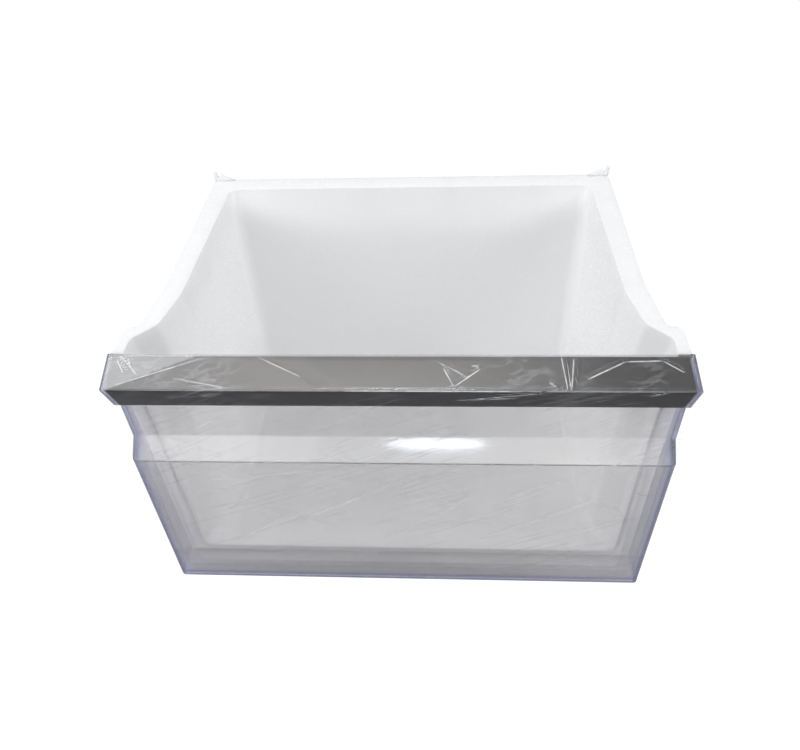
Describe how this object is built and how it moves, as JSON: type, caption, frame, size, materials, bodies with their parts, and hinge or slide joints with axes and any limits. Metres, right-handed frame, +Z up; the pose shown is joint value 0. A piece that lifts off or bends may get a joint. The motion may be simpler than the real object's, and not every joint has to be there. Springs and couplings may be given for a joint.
{
  "type": "refrigerator drawer",
  "caption": "White moulded refrigerator bin with a clear snapped-on front cover, a folded metal-look handle trim and a thin protective film",
  "frame": {"origin": "centre of the box around the whole drawer, at the level of its underside", "axes": "+X to the right seen from the front, +Y from the clear front back into the cabinet, +Z up"},
  "size_m": [0.445, 0.3001, 0.274],
  "materials": {
    "white_plastic": "semi-gloss moulded white",
    "clear_plastic": "polished clear moulding with a faint blue-violet cast",
    "trim_metal": "satin metal-look sheet",
    "tape": "translucent white double-sided tape",
    "film": "thin clear wrinkled film"
  },
  "bodies": {
    "root": {"bin": "white_plastic", "front_cover": "clear_plastic", "handle_trim": "trim_metal", "upper_trim_tape": "tape", "lower_trim_tape": "tape", "protective_film": "film"}
  },
  "joints": []
}
